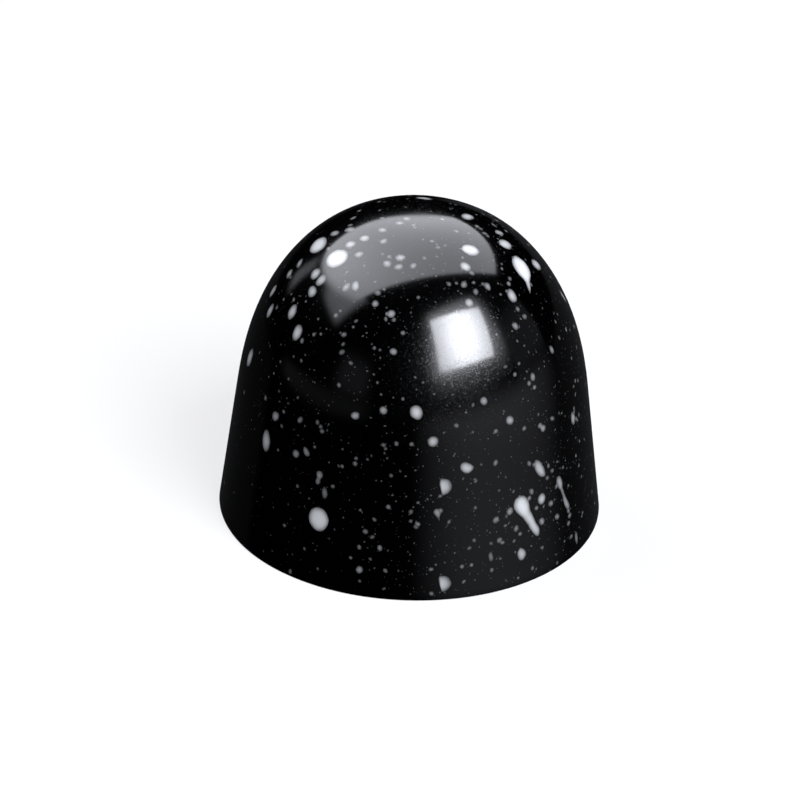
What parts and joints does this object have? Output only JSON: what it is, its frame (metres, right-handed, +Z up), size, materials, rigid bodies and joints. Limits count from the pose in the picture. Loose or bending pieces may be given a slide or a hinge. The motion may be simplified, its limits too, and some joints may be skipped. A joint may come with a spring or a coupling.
{
  "type": "moulded licorice caramel bonbon",
  "caption": "Tall round moulded bonbon for one or two bites, closed all round in glossy black chocolate with white splatter, standing on its flat underside.",
  "frame": {"origin": "middle of the flat underside, on the bonbon's axis", "axes": "+Z up along the axis of the dome; the side with the large splatter of the foot faces -Y"},
  "size_m": [0.028, 0.028, 0.0233],
  "materials": {
    "black_cocoa_butter": "mirror gloss taken from a polished mould",
    "white_cocoa_butter": "gloss, flush with the black round it, thin and greyer at its edges",
    "scraped_chocolate": "dull dark chocolate, scraped level and let set"
  },
  "bodies": {
    "root": {"bonbon": "black_cocoa_butter"}
  },
  "joints": []
}
